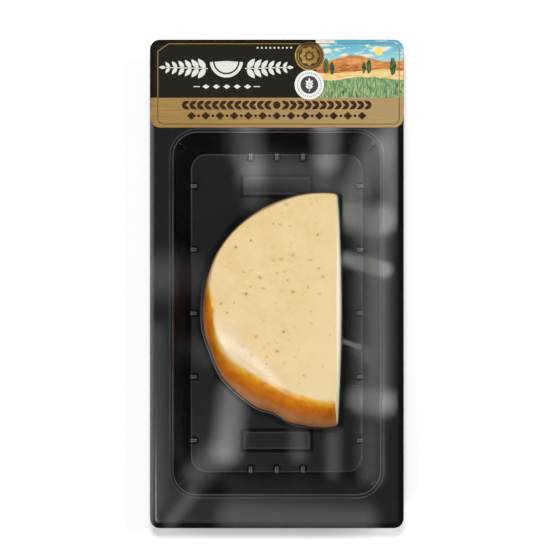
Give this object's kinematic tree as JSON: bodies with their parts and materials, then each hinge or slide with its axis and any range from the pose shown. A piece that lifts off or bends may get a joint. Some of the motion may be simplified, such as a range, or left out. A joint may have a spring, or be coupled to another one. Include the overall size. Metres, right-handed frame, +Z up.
{
  "type": "provolone cheese in a skin pack",
  "caption": "Half-round slab of smoked provolone with oregano, vacuum skin-packed on a black formed tray with a clear film and a printed header label.",
  "frame": {"origin": "under the middle of the pack's outline, on the plane that the tray stands on", "axes": "+Z up out of the pack's face, +Y along its length to the labelled header, +X from the cheese's rind to its knife cut"},
  "size_m": [0.127, 0.2444, 0.03],
  "materials": {
    "tray": "black formed sheet, satin",
    "cheese": "pale smooth paste with herb flecks, amber smoked rind",
    "film": "clear glossy film",
    "label": "printed film, black and gold"
  },
  "bodies": {
    "root": {"tray": "tray", "cheese": "cheese", "film": "film", "label": "label"}
  },
  "joints": []
}
